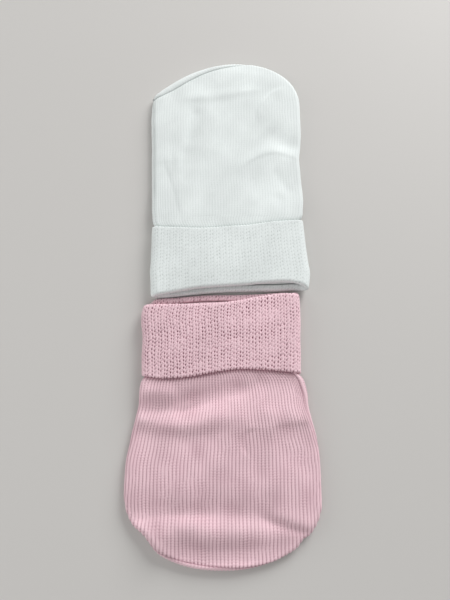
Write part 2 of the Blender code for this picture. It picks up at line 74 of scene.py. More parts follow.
whiteMitten = {
    "name": "white",
    "slot": "white_knit",
    "facing": 1,
    "widths": [    # v, left edge, right edge
        (-4.0, -31.9, 38.0), (1.2, -32.4, 38.1), (6.7, -32.7, 38.9), (10.0, -33.0, 39.2),
        (15.0, -32.9, 38.6), (22.0, -32.8, 37.9), (30.0, -32.8, 37.3), (36.0, -32.7, 36.9),
        (40.0, -33.1, 37.0), (44.5, -33.3, 37.4), (55.0, -33.8, 37.0), (62.0, -34.1, 36.7),
        (67.0, -34.3, 36.4), (72.0, -34.4, 37.0), (80.0, -34.8, 37.7), (90.0, -35.2, 37.7),
        (97.5, -34.8, 37.6), (102.0, -34.0, 37.3), (104.0, -34.0, 37.3), (121.0, -34.0, 37.3),
    ],
    "coverEnds": (32.0, 35.2),           # v of the cuff's edge at the left and right
    "toeTop": (7.0, 120.0),              # x, v
    "toeLeft": (102.0, 2.1, 1.0),        # corner's v, power and root of the curve
    "toeRight": (98.0, 2.1, 2.0),
    "notches": [],                       # x, depth and half width of dents in the toe's line
    "frontMouth": [    # x, v
        (-33.0, -1.2), (-30.0, -0.7), (-21.0, 0.8), (-11.0, 2.5), (-1.0, 3.3), (9.0, 3.9), (19.0, 4.9),
        (30.0, 5.2), (35.0, 3.9), (38.5, 1.8),
    ],
    "backMouth": [
        (-33.0, -1.1), (-24.0, -0.7), (-14.0, 0.4), (-5.0, 1.3), (4.0, 1.8), (13.0, 2.0), (24.0, 2.1),
        (34.0, 2.5), (38.5, 2.2),
    ],
    "frontEdge": [
        (-32.5, 31.4), (-21.0, 30.5), (-10.0, 30.0), (1.0, 30.7), (12.0, 31.5), (23.0, 33.2), (37.0, 34.7),
    ],
    "backEdge": [(-32.5, 31.6), (0.0, 31.8), (37.0, 34.6)],
    "puff": [    # v, height
        (0.0, 0.1), (5.0, 0.5), (14.0, 1.0), (26.0, 1.3), (40.0, 1.4), (75.0, 2.0), (100.0, 1.6),
        (118.0, 0.9),
    ],
    "folds": [    # from x, v, to x, v, bow, width on its right and left, height (a trough below zero)
        (-24.0, 108.0, 31.0, 106.6, 6.0, 7.0, 5.0, 0.75),    # level band along the toe
        (-19.0, 98.9, 17.0, 103.6, -0.8, 2.3, 6.0, 0.4),     # crest of the step below it
        (-14.0, 99.5, 16.0, 102.5, 0.0, 9.0, 2.4, 0.2),      # long ramp up to it
        (28.2, 104.3, 16.9, 88.0, -2.6, 1.5, 6.0, 0.45),     # ridge round its right end
        (-31.0, 106.0, -31.0, 54.0, 0.0, 6.0, 5.0, 0.85),    # level strip down the left
        (-12.8, 96.0, -18.2, 65.0, 0.0, 3.4, 4.6, -0.75),    # valley beside it
        (-13.4, 92.0, -17.4, 75.0, 0.0, 3.0, 4.0, -0.45),    # its deep part
        (-34.0, 49.5, 8.0, 57.0, 0.0, 9.0, 15.0, 0.9),       # swell across the middle
        (9.0, 62.5, 38.0, 68.2, 3.2, 9.0, 4.0, 0.42),        # crest across the right,
        (9.5, 62.5, 38.0, 65.8, 5.2, 1.5, 4.0, 0.28),        # with a sharp edge
        (22.0, 80.5, 35.0, 71.0, 0.0, 6.5, 5.5, -1.05),      # hollow above the crest
        (-33.0, 65.0, -25.0, 66.0, 0.0, 1.5, 8.0, 0.15),     # end of the level strip
        (-28.8, 65.0, -19.6, 34.0, 0.6, 7.0, 1.6, -0.35),    # crease, lower left
        (-21.6, 68.0, -20.0, 50.0, 0.4, 2.0, 2.6, 0.25),     # and the ridge inside it
        (26.5, 47.0, 26.5, 34.0, 0.0, 3.0, 2.2, -0.3),       # short creases, lower right
        (24.5, 60.0, 31.5, 49.0, 0.0, 2.5, 2.5, -0.2),
    ],
    # how far the seam lies in from the outline on top, where the back panel wraps over
    "wrapLeft": [
        (30.0, 1.0), (60.0, 1.0), (85.0, 1.0), (93.0, 0.9), (98.0, 0.3), (101.0, 0.0), (120.0, 0.0),
    ],
    "wrapRight": [(30.0, 0.0), (120.0, 0.0)],
    "wrapToe": [
        (-34.0, 2.0), (-31.0, 3.2), (-26.0, 4.2), (-20.0, 4.6), (-14.0, 4.3), (-7.0, 3.4), (0.0, 2.6),
        (5.0, 1.8), (9.0, 0.8), (13.0, 0.1), (20.0, 0.0), (37.0, 0.0),
    ],
    "ditch": (0.35, 0.35, 1.0),    # how marked the groove along the seam is, in depth and in painted shade: left, right, toe
    "knitStrength": 0.24,          # how far the knit's relief stands out, as a share
    "seed": 3,
}

pinkMitten = {
    "name": "pink",
    "slot": "pink_knit",
    "facing": -1,
    "widths": [
        (-4.0, -34.7, 33.6), (5.0, -35.2, 34.0), (9.0, -35.9, 34.0), (13.0, -35.8, 34.0),
        (18.0, -35.1, 33.7), (28.0, -35.1, 33.6), (34.0, -34.8, 33.5), (37.5, -34.8, 34.6),
        (42.6, -35.4, 36.0), (49.0, -35.7, 36.5), (53.0, -36.6, 37.4), (59.2, -38.1, 38.7),
        (65.6, -39.2, 39.8), (72.0, -40.2, 40.2), (78.0, -40.3, 40.2), (113.0, -40.3, 40.2),
    ],
    "coverEnds": (35.7, 34.7),
    "toeTop": (0.0, 112.0),
    "toeLeft": (82.0, 2.3, 2.0),
    "toeRight": (86.0, 2.0, 2.0),
    "notches": [(-32.0, 2.4, 4.0), (32.4, 1.1, 1.7)],
    "frontMouth": [
        (-35.5, 4.9), (-29.7, 4.7), (-11.0, 4.5), (-1.0, 4.0), (6.6, 3.0), (10.7, 2.2), (17.4, 1.0),
        (24.4, -0.1), (33.5, -0.4),
    ],
    "backMouth": [
        (-35.5, 4.6), (-32.5, 4.0), (-30.5, 1.9), (-28.0, 1.4), (-22.0, 1.0), (-9.0, -0.1), (9.0, -0.4),
        (14.0, -0.6), (19.5, -0.9), (25.0, -1.3), (33.5, -1.1),
    ],
    "frontEdge": [
        (-35.0, 35.1), (-26.0, 36.4), (-20.0, 36.3), (-13.0, 35.6), (-3.0, 33.8), (7.0, 32.6),
        (18.0, 32.8), (33.5, 34.0),
    ],
    "backEdge": [(-35.0, 35.2), (0.0, 34.4), (33.5, 34.2)],
    "puff": [
        (0.0, 0.3), (4.0, 0.7), (10.0, 1.1), (20.0, 1.3), (40.0, 1.5), (58.0, 1.9), (86.0, 1.4),
        (98.0, 1.5), (112.0, 1.2),
    ],
    "folds": [
        (-41.0, 48.4, -8.0, 47.0, 2.0, 3.8, 2.6, -1.25),     # hollow beside the cuff, on the left
        (-33.0, 42.0, -20.0, 42.0, 0.0, 3.0, 3.0, 0.7),      # rise between it and the cuff
        (-20.0, 47.5, 2.0, 44.6, 0.0, 5.5, 6.0, -2.0),       # dip along the rest of the cuff,
        (1.0, 42.8, 18.0, 38.8, 0.0, 4.4, 4.4, -1.6),        # and on to the right,
        (18.0, 40.5, 42.0, 39.5, 0.0, 5.0, 8.0, -0.9),       # shallower
        (-41.0, 54.3, -4.0, 54.4, 1.6, 2.8, 3.2, 1.0),       # first crest, narrow on the left,
        (-8.0, 54.8, 38.0, 53.2, 0.7, 6.0, 5.0, 1.05),       # and broad on the right
        (14.0, 53.4, 40.0, 52.4, 0.0, 10.0, 10.0, 1.25),
        (-16.0, 55.0, 22.0, 54.0, 0.0, 7.0, 24.0, 1.0),      # long fall of the palm beyond it
        (-41.0, 59.2, 5.0, 58.4, 2.2, 4.4, 8.5, -0.85),      # trough beyond it
        (12.0, 59.0, 39.0, 55.9, 0.0, 1.8, 4.0, -0.4),       # that goes on as a crease
        (11.0, 57.6, 21.0, 57.2, 0.0, 2.2, 8.0, 0.5),        # with a fall at its start
        (13.5, 57.6, 10.0, 67.6, 2.6, 1.6, 1.6, -0.3),       # and a curl
        (-36.0, 88.0, -36.0, 62.0, 0.0, 6.0, 8.0, 0.4),      # left edge of the palm
        (-38.0, 79.0, 38.0, 79.0, 0.0, 10.0, 6.0, 0.5),      # lower swell of the palm
        (-38.0, 94.0, -6.0, 90.6, -1.4, 5.0, 3.0, -1.3),     # trough beyond it,
        (-12.0, 90.6, 8.0, 90.4, 0.0, 5.0, 3.2, -0.45),      # deepest in the middle
        (-8.0, 91.6, 27.0, 93.2, 0.0, 5.4, 4.6, -1.15),
        (21.0, 91.0, 36.0, 96.6, 0.0, 3.6, 2.2, 0.7),        # and a bulge at its right end
        (-40.0, 95.0, -20.0, 111.5, 0.0, 7.0, 5.0, 1.0),     # left corner of the toe
        (-38.0, 100.8, -20.0, 99.4, -0.6, 3.6, 9.0, 0.75),   # last crest,
        (-22.0, 97.2, 17.0, 96.8, -0.3, 4.0, 6.0, 0.88),     # with a long fall beyond it
        (-20.0, 106.6, 26.0, 106.2, 1.2, 6.4, 2.8, -1.65),   # dip before the toe
        (16.0, 92.4, 36.0, 99.4, 0.0, 2.2, 1.8, -0.7),       # crease that runs out at the right
    ],
    "wrapLeft": [(30.0, 0.0), (120.0, 0.0)],
    "wrapRight": [
        (30.0, 2.2), (40.0, 2.4), (48.0, 1.8), (56.0, 0.8), (64.0, 0.1), (72.0, 0.0), (120.0, 0.0),
    ],
    "wrapToe": [
        (-39.7, 0.0), (-30.0, 0.2), (-22.0, 1.0), (-12.0, 1.5), (-2.0, 1.2), (10.0, 0.4), (20.0, 0.0),
        (39.7, 0.0),
    ],
    "ditch": (0.35, 0.12, 0.45),
    "knitStrength": 1.0,
    "seed": 8,
}


# Curves and heights

def smoothCurve(table, at, column=1):
    # Cubic through a table's rows: each row's slope is that of its neighbours.
    rows = np.array(table)
    places, values = rows[:, 0], rows[:, column]
    slopes = np.gradient(values, places)
    at = np.clip(at, places[0], places[-1])
    i = np.clip(np.searchsorted(places, at, side="right") - 1, 0, len(places) - 2)
    step = places[i + 1] - places[i]
    t = (at - places[i]) / step
    start = values[i] * (1 + 2 * t) * (1 - t) ** 2 + slopes[i] * step * t * (1 - t) ** 2
    end = values[i + 1] * t**2 * (3 - 2 * t) - slopes[i + 1] * step * t**2 * (1 - t)
    return start + end


def ease(value):
    # 3t^2 - 2t^3 between 0 and 1, level outside.
    value = np.clip(value, 0, 1)
    return value * value * (3 - 2 * value)


def bell(distance, width):
    # exp(-(distance / width)^2).
    return np.exp(-((distance / width) ** 2))


def pulse(turns, sharpness):
    # A soft pulse at every whole turn: exp(sharpness * (cos(2 pi turns) - 1)).
    return np.exp(sharpness * (np.cos(2 * np.pi * turns) - 1))


def softLimit(value, low, high, power):
    # Bends a value over smoothly as it nears a limit: s / (1 + |s|^power)^(1/power), with s the
    # distance from the middle as a share of half the range.
    middle, half = (low + high) / 2, (high - low) / 2
    share = (value - middle) / half
    return middle + half * share / (1 + np.abs(share) ** power) ** (1 / power)


noiseWaves = {
    "count": 16,
    "lengths": (0.75, 1.5),    # shortest and longest, as shares of the length asked for
    "level": 5.6,              # brings their sum to about -1 to 1
}


def softNoise(x, y, size, seed):
    # Sum of cosine waves of about this length in seeded directions.
    rng = np.random.default_rng(seed)
    turn, phase = rng.uniform(0, 2 * np.pi, (2, noiseWaves["count"]))
    length = size * rng.uniform(*noiseWaves["lengths"], noiseWaves["count"])
    total = np.zeros(np.shape(x))
    for way, start, wave in zip(turn, phase, length):
        total += np.cos(2 * np.pi * (x * np.cos(way) + y * np.sin(way)) / wave + start)
    return total / noiseWaves["level"]


def waver(x, y, swing, seed):
    # Noise of a given distance and length.
    distance, length = swing
    return distance * softNoise(x, y, length, seed)


def drift(x, y, change, seed):
    # A share that drifts over the cloth: middle + swing * noise, kept between its limits.
    middle, swing, length, least, most = change
    return np.clip(middle + swing * softNoise(x, y, length, seed), least, most)


def insets(mitten, v):
    # Inside the cuff a panel's two edges lie one layer in from the outline. Past the cuff's edge
    # they spring back out to it: layer * (1 - share)^2 over the spread.
    shares = [np.clip((v - end) / cloth["coverSpread"], 0, 1) for end in mitten["coverEnds"]]
    return [cloth["layer"] * (1 - share) ** 2 for share in shares]


def seamHeight(v):
    # The seam is half the mitten's edge high, and a layer higher inside the cuff.
    lift = 1 - ease((v - cloth["coverEnd"]) / (cloth["coverClear"] - cloth["coverEnd"]))
    return cloth["rimHeight"] + cloth["layer"] * lift


def sideEdges(mitten, v, depths):
    # The outline's left and right x at v, each brought in by its own depth.
    left, right = smoothCurve(mitten["widths"], v, 1), smoothCurve(mitten["widths"], v, 2)
    return left + depths[0], right - depths[1]


def toeLine(mitten, x):
    # Each side of the toe is corner + rise * (1 - share^power)^(1/root), share 1 at the side edge,
    # less a bell for each dent.
    topX, topV = mitten["toeTop"]
    left, right = sideEdges(mitten, topV, (0, 0))
    shareLeft = np.clip((topX - x) / (topX - left), 0, 1)
    shareRight = np.clip((x - topX) / (right - topX), 0, 1)
    cornerLeft, powerLeft, rootLeft = mitten["toeLeft"]
    cornerRight, powerRight, rootRight = mitten["toeRight"]
    lineLeft = cornerLeft + (topV - cornerLeft) * (1 - shareLeft**powerLeft) ** (1 / rootLeft)
    lineRight = cornerRight + (topV - cornerRight) * (1 - shareRight**powerRight) ** (1 / rootRight)
    line = np.where(x < topX, lineLeft, lineRight)
    for place, deep, width in mitten["notches"]:
        line = line - deep * bell(x - place, width)
    return line


def foldHeight(fold, x, v, stray):
    # A bell across a bowed line, with a width for each side of it, eased out past both ends. The
    # line strays by a distance given for each place.
    x0, v0, x1, v1, bow, rightWidth, leftWidth, height = fold
    length = np.hypot(x1 - x0, v1 - v0)
    runX, runV = (x1 - x0) / length, (v1 - v0) / length
    share = ((x - x0) * runX + (v - v0) * runV) / length
    off = (v - v0) * runX - (x - x0) * runV - bow * 4 * share * (1 - share) + stray
    height = height * bell(off, np.where(off < 0, rightWidth, leftWidth))
    end = cloth["foldEnd"]
    return height * ease((share + end) / (2 * end)) * ease((1 + end - share) / (2 * end))


def rise(mitten, x, v, inside):
    # The front panel's swell over the room inside, plus its folds, both dying out at the seam.
    puff = smoothCurve(mitten["puff"], v) * (1 - bell(inside, cloth["puffReach"]))
    stray = waver(x, v, cloth["foldStray"], mitten["seed"] + 1)
    folds = sum(foldHeight(fold, x, v, stray) for fold in mitten["folds"])
    folds = folds + waver(x, v, cloth["uneven"], mitten["seed"]) * (v > cloth["coverEnd"])
    folds = folds * (1 - bell(inside, cloth["foldReach"]))
    return softLimit(puff + folds, cloth["roomLow"], cloth["roomHigh"], cloth["limitPower"])


def overSeam(distance, radius, height):
    # Quarter ellipse, from half a gap at the seam up to full height.
    inward = 1 - np.clip(distance / radius, 0, 1)
    return cloth["halfGap"] + (height - cloth["halfGap"]) * np.sqrt(1 - inward**2)


# Grids

rimTurn = np.linspace(0, np.pi / 2, 64)
rimIn = cloth["rimRadius"] * (1 - np.cos(rimTurn))
rimUp = cloth["rimHeight"] * np.sin(rimTurn)
rimWay = np.r_[0, np.cumsum(np.hypot(np.diff(rimIn), np.diff(rimUp)))]
farAway = 99.0    # way to the seam, where no seam is near


def wayIn(way):
    # Distance in from the outline after this way over the rounded rim and on along the flat.
    return np.where(way < rimWay[-1], np.interp(way, rimWay, rimIn), rimIn[-1] + way - rimWay[-1])


def wayTo(distance):
    # Way over the rounded rim and along the flat to this distance in from the outline.
    onRim = np.interp(distance, rimIn, rimWay)
    return np.where(distance < rimIn[-1], onRim, rimWay[-1] + distance - rimIn[-1])


def edgeOffset(share, wrap, top):
    # Places across the strip beside a seam, evenly spaced over the rim: share 0 at the seam and 1
    # where the strip ends. The seam lies in by the width that the back wraps over. Gives the
    # distance in from the outline, the side (1 above, -1 below) and the way from the seam.
    seamWay = wayTo(wrap)
    endWay = wayTo(cloth["rimDepth"]) * (1 if top else -1)
    way = seamWay + (endWay - seamWay) * share
    return wayIn(np.abs(way)), np.where(way >= 0, 1.0, -1.0), np.abs(way - seamWay)


def columnShares(rimCount, middleCount):
    # Columns from left to right: which strip each is in, and its share of that strip.
    rimShare = np.arange(rimCount) / rimCount
    strip = np.r_[-np.ones(rimCount), np.zeros(middleCount + 1), np.ones(rimCount)]
    share = np.r_[rimShare, np.arange(middleCount + 1) / middleCount, rimShare[::-1]]
    return strip, share


def stripValues(strip, left, right, middle):
    # Each column's value: that of the left strip, the right strip or the middle.
    return np.where(strip < 0, left, np.where(strip > 0, right, middle))


def stripPlaces(strip, share, left, right, leftIn, rightIn, reach):
    # x of each column: its offset from the outline in the two strips, and evenly spaced between.
    middle = left + reach + share * (right - left - 2 * reach)
    return stripValues(strip, left + leftIn, right - rightIn, middle)


def stripPhase(strip, share, inRim, inMiddle):
    # Ribs counted from the left seam at each column: so many in each strip and in the middle.
    return stripValues(strip, inRim * share, inMiddle + inRim * (2 - share), inRim + inMiddle * share)


def surfaceNormals(points):
    # Cross product of the grid's two directions, at length one.
    across, along = np.gradient(points, axis=1), np.gradient(points, axis=0)
    normal = np.cross(across, along)
    return normal / np.maximum(np.linalg.norm(normal, axis=-1, keepdims=True), 1e-12)


def gridQuads(rows, columns, start=0, turned=False):
    # Four-cornered faces of a grid, corners at n, n + 1, n + columns + 1 and n + columns.
    r, c = np.meshgrid(np.arange(rows - 1), np.arange(columns - 1), indexing="ij")
    corner = (start + r * columns + c).ravel()
    quads = np.stack([corner, corner + 1, corner + columns + 1, corner + columns], -1)
    return quads[:, ::-1] if turned else quads


def stripTriangles(fine, coarse):
    # Closes the strip between a fine row of points and a coarse one that has every nth of them:
    # each fine edge goes to the nearer coarse point, and each coarse edge to the fine point between.
    step = (len(fine) - 1) // (len(coarse) - 1)
    edge = np.arange(len(fine) - 1)
    near = (edge + step // 2) // step
    toFine = np.stack([fine[:-1], fine[1:], coarse[near]], -1)
    between = np.arange(len(coarse) - 1) * step + (step - step // 2)
    toCoarse = np.stack([coarse[1:], coarse[:-1], fine[between]], -1)
    return np.concatenate([toFine, toCoarse])


def wallFaces(rows, columns, rowStep, columnStep):
    # Outer grid, every nth point of it again as the inner grid, and the four strips between them.
    outer = np.arange(rows * columns).reshape(rows, columns)
    innerRows, innerColumns = (rows - 1) // rowStep + 1, (columns - 1) // columnStep + 1
    start = rows * columns
    inner = start + np.arange(innerRows * innerColumns).reshape(innerRows, innerColumns)
    strips = [
        stripTriangles(outer[0][::-1], inner[0][::-1]),
        stripTriangles(outer[:, -1][::-1], inner[:, -1][::-1]),
        stripTriangles(outer[-1], inner[-1]),
        stripTriangles(outer[:, 0], inner[:, 0]),
    ]
    return [gridQuads(rows, columns), gridQuads(innerRows, innerColumns, start, turned=True), *strips]


def makePiece(name, points, groups, flatPlace, relief, material, flip):
    # One mesh from arrays: points, groups of faces with equal corners, a flat place in millimetres
    # for the knit's pattern (kept as UV) and each point's painted shade, from the shaded groove to the
    # lit crest (kept as the attribute 'relief').
    mesh = bpy.data.meshes.new(name)
    if flip:
        groups = [group[:, ::-1] for group in groups]
    corners = np.concatenate([group.ravel() for group in groups]).astype(np.int32)
    sizes = np.concatenate([np.full(len(group), group.shape[1]) for group in groups]).astype(np.int32)
    mesh.vertices.add(len(points))
    mesh.vertices.foreach_set("co", (points * millimetre).astype(np.float32).ravel())
    mesh.loops.add(len(corners))
    mesh.loops.foreach_set("vertex_index", corners)
    mesh.polygons.add(len(sizes))
    mesh.polygons.foreach_set("loop_start", np.r_[0, np.cumsum(sizes)[:-1]].astype(np.int32))
    mesh.polygons.foreach_set("loop_total", sizes)
    mesh.polygons.foreach_set("use_smooth", np.ones(len(sizes), bool))
    mesh.update(calc_edges=True)
    layer = mesh.uv_layers.new(name="knit")
    layer.data.foreach_set("uv", (flatPlace[corners] * uvScale).astype(np.float32).ravel())
    # painted shade, kept under the name 'relief'
    attribute = mesh.attributes.new("relief", "FLOAT", "POINT")
    attribute.data.foreach_set("value", relief.astype(np.float32))
    mesh.materials.append(material)
    mesh.validate()
    piece = bpy.data.objects.new(name, mesh)
    bpy.context.scene.collection.objects.link(piece)
    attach(piece, "root")
    return piece


def placed(mitten, x, v, z):
    # Points on the surface: v runs from where the mouths meet, the way the mitten points.
    return np.stack([x, mouthsMeet + mitten["facing"] * v, z], axis=-1)


# Materials

def toLinear(hexColour):
    # sRGB to linear: c / 12.92 in the darkest part, else ((c + 0.055) / 1.055)^2.4.
    values = np.array([int(hexColour[i:i + 2], 16) for i in (1, 3, 5)]) / 255
    linear = np.where(values <= 0.04045, values / 12.92, ((values + 0.055) / 1.055) ** 2.4)
    return (*linear.tolist(), 1.0)


def addNode(tree, kind, settings=None, links=None):
    # A node, its own settings and socket values, and what feeds its sockets.
    node = tree.nodes.new(kind)
    for name, value in (settings or {}).items():
        if isinstance(name, str) and hasattr(node, name):
            setattr(node, name, value)
        else:
            node.inputs[name].default_value = value
    for name, source in (links or {}).items():
        tree.links.new(source, node.inputs[name])
    return node


combedCotton = {
    "roughness": 0.9,
    "ior": 1.45,
    "specular": 0.2,
    "sheen": 0.15,                # the yarn's fuzz
    "sheenRoughness": 0.5,
    "blotch": 14.0,               # patches of uneven dye
    "blotchTone": (0.94, 1.05),   # darkest and lightest
    "fibreWidth": 0.22,           # fibre clumps across and along the rib, and how far they stand
    "fibreLength": 0.5,
    "fibreHeight": 0.06,
    "fibreTone": (0.93, 1.06),
    "fibreStrength": 0.5,
}
# crest is the yarn's lit colour; groove is the same yarn as painted shade, darker and more saturated
whiteYarn = {"crest": "#EDF3F2", "groove": "#D8DFDD"}
pinkYarn = {"crest": "#F6D5DD", "groove": "#9F6C7C"}


def cottonRibKnit(name, yarn, cotton):
    # Combed cotton in fine rib: matt yarn with a little fuzz. Shade is painted into its colour: the
    # 'relief' attribute blends from a darker, more saturated shaded copy of the yarn in the grooves,
    # holes and seams to its lit colour on the crests, and the dye is a touch uneven. A single fibre is
    # too fine to show, so the yarn's uneven grain is drawn at the size of clumps of them.
    material = bpy.data.materials.new(name)
    material.use_nodes = True
    tree = material.node_tree
    shader = tree.nodes["Principled BSDF"]
    # the 'relief' attribute holds each point's painted shade, from groove to crest
    relief = addNode(tree, "ShaderNodeAttribute", {"attribute_name": "relief"})
    place = addNode(tree, "ShaderNodeTexCoord")
    inKnit = addNode(tree, "ShaderNodeUVMap", {"uv_map": "knit"})
    blotch = addNode(
        tree,
        "ShaderNodeTexNoise",
        {"Scale": 1 / (cotton["blotch"] * millimetre), "Detail": 2.0},
        {"Vector": place.outputs["Object"]},
    )
    clumps = (1 / (cotton["fibreWidth"] * uvScale), 1 / (cotton["fibreLength"] * uvScale), 1)
    fibre = addNode(tree, "ShaderNodeMapping", {"Scale": clumps}, {"Vector": inKnit.outputs["UV"]})
    grain = addNode(
        tree,
        "ShaderNodeTexNoise",
        {"Scale": 1.0, "Detail": 3.0},
        {"Vector": fibre.outputs["Vector"]},
    )
    # the painted shade value, eased, then blended from the shaded groove colour to the lit crest colour
    depth = addNode(
        tree,
        "ShaderNodeMapRange",
        {"interpolation_type": "SMOOTHSTEP"},
        {"Value": relief.outputs["Fac"]},
    )
    colour = addNode(
        tree,
        "ShaderNodeMix",
        {"data_type": "RGBA", 6: toLinear(yarn["groove"]), 7: toLinear(yarn["crest"])},
        {0: depth.outputs["Result"]},
    )
    darkest, lightest = cotton["blotchTone"]
    uneven = addNode(
        tree,
        "ShaderNodeMapRange",
        {"From Min": 0.3, "From Max": 0.7, "To Min": darkest, "To Max": lightest},
        {"Value": blotch.outputs["Fac"]},
    )
    darkest, lightest = cotton["fibreTone"]
    speck = addNode(
        tree,
        "ShaderNodeMapRange",
        {"From Min": 0.25, "From Max": 0.75, "To Min": darkest, "To Max": lightest},
        {"Value": grain.outputs["Fac"]},
    )
    tone = addNode(
        tree,
        "ShaderNodeMath",
        {"operation": "MULTIPLY"},
        {0: uneven.outputs["Result"], 1: speck.outputs["Result"]},
    )
    toned = addNode(
        tree,
        "ShaderNodeVectorMath",
        {"operation": "SCALE"},
        {0: colour.outputs[2], "Scale": tone.outputs["Value"]},
    )
    bump = addNode(
        tree,
        "ShaderNodeBump",
        {"Strength": cotton["fibreStrength"], "Distance": cotton["fibreHeight"] * millimetre},
        {"Height": grain.outputs["Fac"]},
    )
    tree.links.new(toned.outputs["Vector"], shader.inputs["Base Color"])
    tree.links.new(bump.outputs["Normal"], shader.inputs["Normal"])
    shader.inputs["Roughness"].default_value = cotton["roughness"]
    shader.inputs["Metallic"].default_value = 0.0
    shader.inputs["IOR"].default_value = cotton["ior"]
    shader.inputs["Specular IOR Level"].default_value = cotton["specular"]
    shader.inputs["Sheen Weight"].default_value = cotton["sheen"]
    shader.inputs["Sheen Roughness"].default_value = cotton["sheenRoughness"]
    return material


knits = {
    "white": cottonRibKnit("whiteCottonRib", whiteYarn, combedCotton),
    "pink": cottonRibKnit("pinkCottonRib", pinkYarn, combedCotton),
}
print("materials made")


# Panels

frontPanel = {
    "ribs": 46,                   # between the two strips beside the seams, which hold these more each
    "rimRibs": 4.6,
    "perRib": 5,                  # columns of points to a rib
    "rimColumns": 22,
    "hiddenRows": 8,              # under the cuff
    "bodyRows": 310,
    "rimRows": 18,
    "columnStep": 2,              # the inner surface has every nth column and row
    "rowStep": 8,
    "mouthIn": 3.3,               # it starts this far in from the mouth, beyond the cuff's return
    "tuckedIn": 1.5,              # the close rows start this far under the cuff
    "ribHeight": 0.29,
    "ridgeShare": 0.86,           # of a rib's width is its raised ridge
    "waver": (0.10, 9),           # how far a rib strays sideways, in ribs, and over what length
    "course": 1.05,               # one row of stitches
    "courseWaver": (0.25, 6),     # how far a row strays, in rows, and over what length
    "stitchHeight": 0.07,
    "legLag": 0.45,               # how far the legs of a stitch's V lag behind its middle, in rows
    # how strong the ribs and how clear the stitches are: middle, swing, length, least, most
    "strength": (1, 0.22, 11, 0.5, 1.4),
    "clearness": (0.65, 0.45, 8, 0.15, 1.1),
    "paintedTones": (0.40, 0.48, 0.14),  # painted shade: of the groove, and what the ridge and a stitch add to it
    "underCuff": 0.2,             # share of the relief under the cuff; past it, it grows to the whole
    "bareFrom": -0.1,             # over 1 mm from here
    "tuck": 0.30,                 # depth and length of the dip where it goes under the cuff
    "tuckWidth": 1.3,
    "tuckPaintedShadow": (0.45, 0.7, 0.8),  # painted shadow line past the cuff's edge: how much darker, how far past the cuff, and its length
    "ditch": 0.40,                # depth and half width of the groove along the seam
    "ditchWidth": 0.6,
    "seamStitch": 1.35,           # length of a stitch along the seam
    "toothDepth": 0.3,            # share that its marks add to the groove's depth and to its painted shade
    "toothPaintedShade": 0.35,
    "wrapStitch": (1.7, 1.4, 5),  # slanting stitches of a wrapped edge: way in, half width, farthest
    "wrapSlant": 1.7,             # way over which they lean by one stitch
    "wrapHeight": 0.16,
    "wrapSmooth": 0.7,            # share of the ribs' relief that they hide
    "wrapPaintedTones": (0.92, 0.15),    # painted light of the edge, lighter than the ribs' grooves, and the painted shade a stitch adds
    # one fixed point on the painted shade scale, for the inner surface
    "innerTone": 0.6,
    "seed": 0,
}
backPanel = {
    **frontPanel,
    "perRib": 4,
    "rimColumns": 26,
    "hiddenRows": 6,
    "bodyRows": 154,
    "rimRows": 26,
    "columnStep": 4,
    "rowStep": 6,
    "seed": 5,
}


def ribRelief(shape, ribPhase, x, v, seed):
    # Each rib is a half-round ridge, with a flat groove between two of them. Along it, the V of
    # each stitch is a wave whose two legs lag behind the middle, by the distance from the crest. Its
    # colour gets painted shade: darker in the groove, lighter on the ridge, varied by the stitches.
    phase = ribPhase + waver(x, v, shape["waver"], seed)
    off = 2 * np.abs(phase - np.floor(phase) - 0.5)
    column = np.sqrt(np.clip(1 - (off / shape["ridgeShare"]) ** 2, 0, 1))
    course = v / shape["course"] + waver(x, v, shape["courseWaver"], seed + 1)
    stitch = np.cos(2 * np.pi * (course - shape["legLag"] * off))
    strength = drift(x, v, shape["strength"], seed + 2)
    clear = drift(x, v, shape["clearness"], seed + 3)
    height = shape["ribHeight"] * strength * column + shape["stitchHeight"] * clear * (0.5 + 0.5 * stitch)
    # painted shade and light from the ribs and stitches
    paintedGrooveShade, paintedRidgeLight, paintedStitchShade = shape["paintedTones"]
    shade = paintedGrooveShade + paintedRidgeLight * column * strength + paintedStitchShade * clear * stitch
    return height, np.clip(shade, 0, 1)


